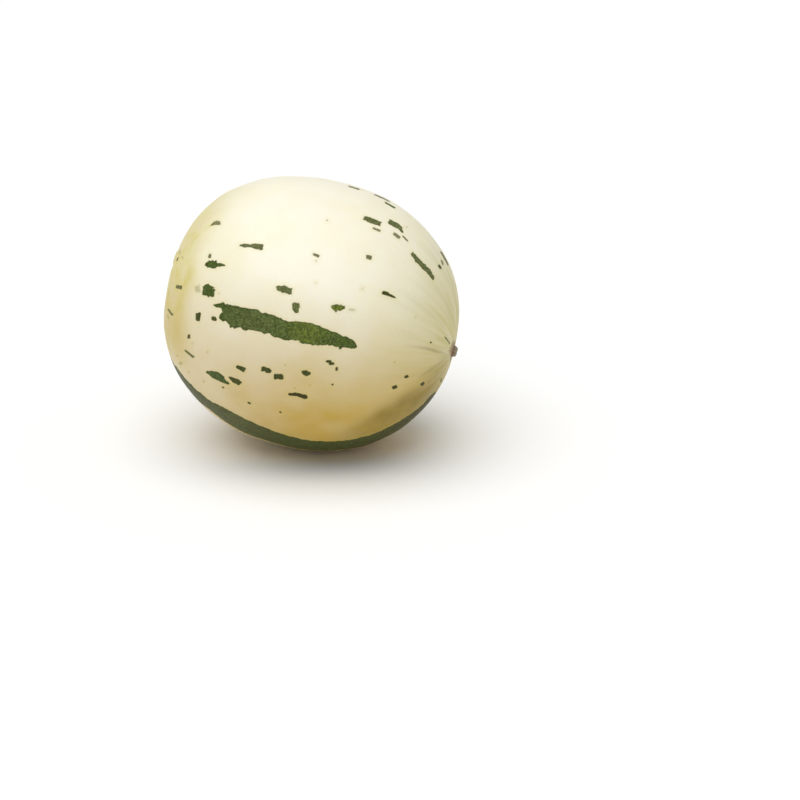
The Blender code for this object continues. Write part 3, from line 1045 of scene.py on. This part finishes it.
# The stub: its flutes and fibres, how far the crown hangs over, where the crown starts and how it waves, the
# lumps round it as count, start and share, and its profile as shares of the radius and height
STUB_SIDES = 128
FLUTES = 10
FLUTE_DEPTH = 0.00014
FLUTE_SWAY = 1.2
FLUTE_SHARPNESS = 1.5
FIBRES = 46
FIBRE_DEPTH = 0.00005
FIBRE_TWIST = 3
FIBRE_BUNDLES = 9
STUB_DROOP = 0.0003
CROWN_START = (0.4, 0.65)
CROWN_WAVE = (3, 0.6, 0.00025)
STUB_LUMPS = [(2, 0.5, 0.07), (3, 2.1, 0.05), (5, 0.3, 0.03)]
FLOOR_GAP = 0.0001
STUB_PROFILE = [
    (0.0, 0.97), (0.2, 0.98), (0.4, 1.0), (0.6, 0.97), (0.77, 0.89), (0.90, 0.77), (0.98, 0.62),
    (1.02, 0.48), (1.04, 0.35), (1.09, 0.24), (1.20, 0.14), (1.36, 0.06), (1.32, 0.0), (0.5, -0.01),
    (0.0, -0.01),
]
STUB_STEPS = 6
STUB_SMOOTHING = (1, 3, 5, 6, 5, 3, 1)


def stub_outline(radius, height):
    """Points down the stub's side, on a smooth curve through its profile."""
    shares = np.array(STUB_PROFILE)
    knots = np.arange(len(shares))
    finer = np.linspace(0, len(shares) - 1, (len(shares) - 1) * STUB_STEPS + 1)
    outline = np.stack([np.interp(finer, knots, shares[:, axis]) for axis in (0, 1)], axis=1)
    reach = len(STUB_SMOOTHING) // 2
    kernel = np.array(STUB_SMOOTHING) / sum(STUB_SMOOTHING)
    for axis in (0, 1):
        outline[reach:-reach, axis] = np.convolve(outline[:, axis], kernel, "valid")
    return outline * (radius, height)


def stalk_material(look):
    """Dry grey bark with dark flutes and a paler, pitted crown."""
    paint = Paint("dry_stalk")
    where = paint.place()
    flute, crown, _ = paint.attribute("bark")
    coarse = paint.noise(where, 1.2, 3.0, 0.6)
    fine = paint.noise(where, 0.3, 3.0, 0.7)
    base = paint.mix(crown * (coarse.rise(0.3, 0.6) * 0.4 + 0.6), look.bark, look.pith)
    base = paint.mix(flute * 0.35 + fine.rise(0.55, 0.75) * 0.45, base, look.crack)
    paint.set(Base_Color=base, Roughness=fine * 0.2 + 0.7, Specular_IOR_Level=0.3)
    paint.relief(fine * 0.12 + coarse * 0.15)
    return paint.material


def build_stub(look):
    """The dried stub of the stalk, lumpy and fibrous, standing in its dish."""
    outline = stub_outline(look.radius, look.height)
    angle = np.tile(2 * np.pi * np.arange(STUB_SIDES) / STUB_SIDES, len(outline) - 2)
    angle = np.concatenate([[0.0], angle, [0.0]])
    radius = np.concatenate([[0.0], np.repeat(outline[1:-1, 0], STUB_SIDES), [0.0]])
    up = np.concatenate([outline[:1, 1], np.repeat(outline[1:-1, 1], STUB_SIDES), outline[-1:, 1]])
    level = up / look.height
    outer = np.clip(radius / look.radius, 0, 1)
    flute = (0.5 - 0.5 * np.cos(FLUTES * angle + FLUTE_SWAY * np.sin(2 * angle))) ** FLUTE_SHARPNESS
    fibre = np.sin(FIBRES * angle + FIBRE_TWIST * level) * np.sin(FIBRE_BUNDLES * angle)
    radius = radius * (1 + sum(share * np.sin(count * angle + start) for count, start, share in STUB_LUMPS))
    radius -= (FLUTE_DEPTH * flute + FIBRE_DEPTH * fibre) * outer
    crown = between(level, *CROWN_START)
    count, start, height = CROWN_WAVE
    up = up + crown * outer * height * np.sin(count * angle + start)
    points = np.stack([radius * np.cos(angle) + STUB_DROOP * level**2, radius * np.sin(angle), up], axis=1)
    floor_point, _ = skin(np.zeros(1), np.zeros(1))
    to_frame = lean() @ np.array(Matrix.Rotation(math.radians(90), 3, "Y"))
    middle = np.array(bpy.context.scene.objects["rind"]["fruit_middle"])
    foot = lean() @ (floor_point[0] + (FLOOR_GAP, 0, 0)) + middle
    mesh = round_mesh("stalk_stub", points @ to_frame.T + foot, STUB_SIDES)
    write_attribute(mesh, "bark", "POINT", flute * outer, crown, level)
    stub = link("stalk_stub", mesh, stalk_material(look))
    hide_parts("stem_stub")
    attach(stub, "root")


class MELON_OT_stalk(bpy.types.Operator):
    """Build the dried stub of the stalk"""

    bl_idname = "melon.stalk"
    bl_label = "Stalk stub"

    def execute(self, context):
        build_stub(context.scene.melon_stalk)
        return {"FINISHED"}


def soft_light(name, strength, softness, towards):
    """A wide, even lamp far away in a direction."""
    data = bpy.data.lights.new(name, "SUN")
    data.energy = strength
    data.angle = softness
    lamp = bpy.data.objects.new(name, data)
    lamp.rotation_euler = Vector(towards).to_track_quat("Z", "Y").to_euler()
    bpy.context.scene.collection.objects.link(lamp)


def build_stage(look):
    """The pale floor, the soft light and the camera at the photograph's angle."""
    scene = bpy.context.scene
    bm = bmesh.new()
    bmesh.ops.create_circle(bm, segments=FLOOR_SIDES, radius=look.floor_size, cap_ends=True)
    mesh = bpy.data.meshes.new("floor")
    bm.to_mesh(mesh)
    bm.free()
    paint = Paint("pale_floor")
    paint.set(Base_Color=look.floor, Roughness=0.9, Specular_IOR_Level=0.2)
    floor = link("floor", mesh, paint.material)

    world = bpy.data.worlds.new("white_room")
    world.use_nodes = True
    background = world.node_tree.nodes["Background"].inputs
    background["Color"].default_value = (1.0, 1.0, 1.0, 1.0)
    background["Strength"].default_value = look.sky
    scene.world = world
    soft_light("overhead", look.key, look.softness, LIGHT_DIRECTION)

    data = bpy.data.cameras.new("camera")
    data.sensor_width = SENSOR
    data.lens = LENS * SENSOR / PICTURE
    data.clip_start, data.clip_end = CAMERA_REACH
    camera = bpy.data.objects.new("camera", data)
    camera.location = photo_camera(Vector(scene.objects["rind"]["fruit_middle"]))[0]
    camera.rotation_euler = (math.pi / 2 - TILT, 0, TURN)
    scene.collection.objects.link(camera)
    scene.camera = camera
    scene.view_settings.view_transform = "Standard"


class MELON_OT_stage(bpy.types.Operator):
    """Build the floor, the light and the camera"""

    bl_idname = "melon.stage"
    bl_label = "Studio"

    def execute(self, context):
        build_stage(context.scene.melon_stage)
        return {"FINISHED"}


class MELON_PT_sidebar(bpy.types.Panel):
    """Lists the settings and the steps"""

    bl_label = "Melon"
    bl_space_type = "VIEW_3D"
    bl_region_type = "UI"
    bl_category = "Melon"

    def draw(self, context):
        for group in GROUPS:
            box = self.layout.box()
            settings = getattr(context.scene, group)
            for name in settings.__annotations__:
                box.prop(settings, name)
        for operator in STEPS:
            self.layout.operator(operator.bl_idname)


GROUPS = {"melon_rind": MELON_PG_rind, "melon_stalk": MELON_PG_stalk, "melon_stage": MELON_PG_stage}
STEPS = (MELON_OT_rind, MELON_OT_flecks, MELON_OT_stalk, MELON_OT_stage)


def register():
    for made in (*GROUPS.values(), *STEPS, MELON_PT_sidebar):
        bpy.utils.register_class(made)
    for name, group in GROUPS.items():
        setattr(bpy.types.Scene, name, PointerProperty(type=group))


def unregister():
    for name in GROUPS:
        delattr(bpy.types.Scene, name)
    for made in (MELON_PT_sidebar, *STEPS, *GROUPS.values()):
        bpy.utils.unregister_class(made)


def main():
    register()
    bpy.ops.melon.rind()
    bpy.ops.melon.flecks()
    bpy.ops.melon.stalk()
    bpy.ops.melon.stage()


if __name__ == "__main__":
    main()
